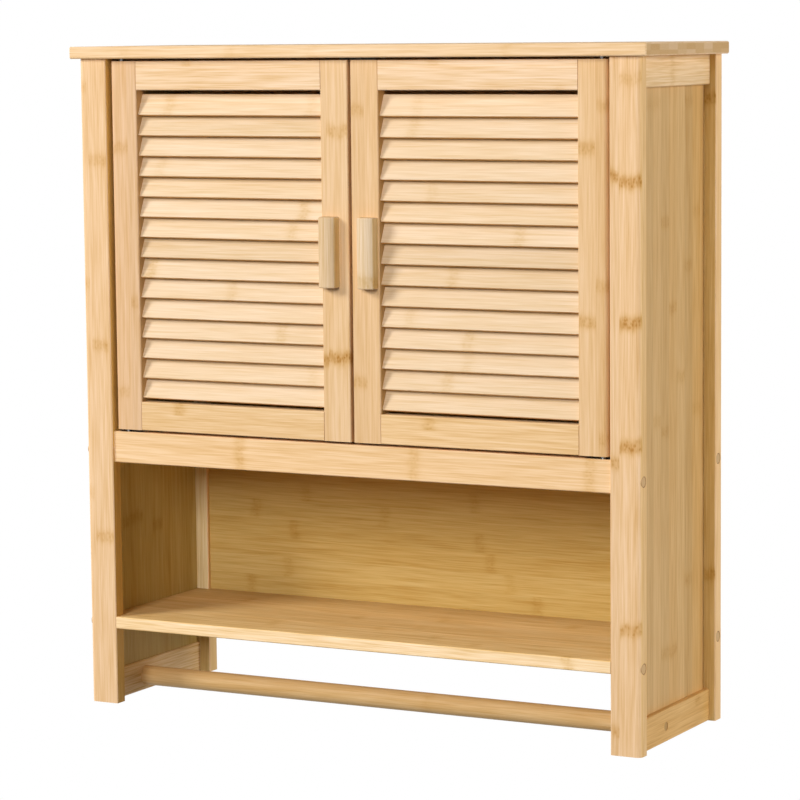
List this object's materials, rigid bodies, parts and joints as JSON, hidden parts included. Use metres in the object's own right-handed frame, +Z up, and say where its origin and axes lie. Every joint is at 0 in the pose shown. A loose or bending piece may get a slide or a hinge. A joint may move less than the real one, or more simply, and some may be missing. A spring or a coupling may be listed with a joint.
{
  "type": "wall-mounted bathroom cabinet",
  "caption": "Wall-hung bamboo bathroom cabinet: louvred hinged doors over an open shelf bay, a towel bar below and a rear hanging rail bored for wall screws.",
  "frame": {"origin": "midway between the two wall-screw holes, on the wall plane at the hanging rail's back face", "axes": "+X to the right seen from the front, +Y into the wall, +Z up"},
  "size_m": [0.6226, 0.2036, 0.66],
  "materials": {
    "bamboo_frame": "clear satin lacquer on natural bamboo",
    "bamboo_board": "clear satin lacquer on laminated bamboo",
    "bamboo_panel": "clear satin lacquer on thin bamboo board",
    "bamboo_slat": "clear satin lacquer on pale bamboo",
    "bamboo_handle": "smooth pale wood",
    "bamboo_plug": "end-grain plug",
    "steel": "zinc-plated steel",
    "catch_plastic": "moulded plastic",
    "magnet": "ferrite"
  },
  "bodies": {
    "cabinet": {"top_panel": "bamboo_board", "front_rail": "bamboo_frame", "cabinet_floor": "bamboo_board", "open_shelf": "bamboo_board", "upper_back_panel": "bamboo_panel", "lower_back_panel": "bamboo_panel", "hanging_rail": "bamboo_frame", "inner_shelf": "bamboo_board", "towel_bar": "bamboo_frame", "catch_body": "catch_plastic", "frame_screws": "steel", "frame_screw_plugs": "bamboo_plug", "top_pegs": "bamboo_frame", "pivot_plates": "steel", "catch_magnets": "magnet", "left_front_post": "bamboo_frame", "left_back_post": "bamboo_frame", "left_top_side_rail": "bamboo_frame", "left_bottom_side_rail": "bamboo_frame", "left_side_panel": "bamboo_panel", "left_shelf_cleat": "bamboo_frame", "right_front_post": "bamboo_frame", "right_back_post": "bamboo_frame", "right_top_side_rail": "bamboo_frame", "right_bottom_side_rail": "bamboo_frame", "right_side_panel": "bamboo_panel", "right_shelf_cleat": "bamboo_frame"},
    "left_door": {"left_door_hinge_stile": "bamboo_frame", "left_door_meeting_stile": "bamboo_frame", "left_door_top_rail": "bamboo_frame", "left_door_bottom_rail": "bamboo_frame", "left_door_slats": "bamboo_slat", "left_door_handle": "bamboo_handle", "left_door_pivot_pins": "steel", "left_door_strike_plate": "steel"},
    "right_door": {"right_door_hinge_stile": "bamboo_frame", "right_door_meeting_stile": "bamboo_frame", "right_door_top_rail": "bamboo_frame", "right_door_bottom_rail": "bamboo_frame", "right_door_slats": "bamboo_slat", "right_door_handle": "bamboo_handle", "right_door_pivot_pins": "steel", "right_door_strike_plate": "steel"}
  },
  "joints": [
    {"name": "left_door_hinge", "type": "hinge", "parent": "cabinet", "child": "left_door", "pos_m": [-0.26025, -0.1821, -0.1655], "axis": [0, 0, -1], "range_deg": [0, 100]},
    {"name": "right_door_hinge", "type": "hinge", "parent": "cabinet", "child": "right_door", "pos_m": [0.26025, -0.1821, -0.1655], "axis": [0, 0, 1], "range_deg": [0, 100]}
  ]
}
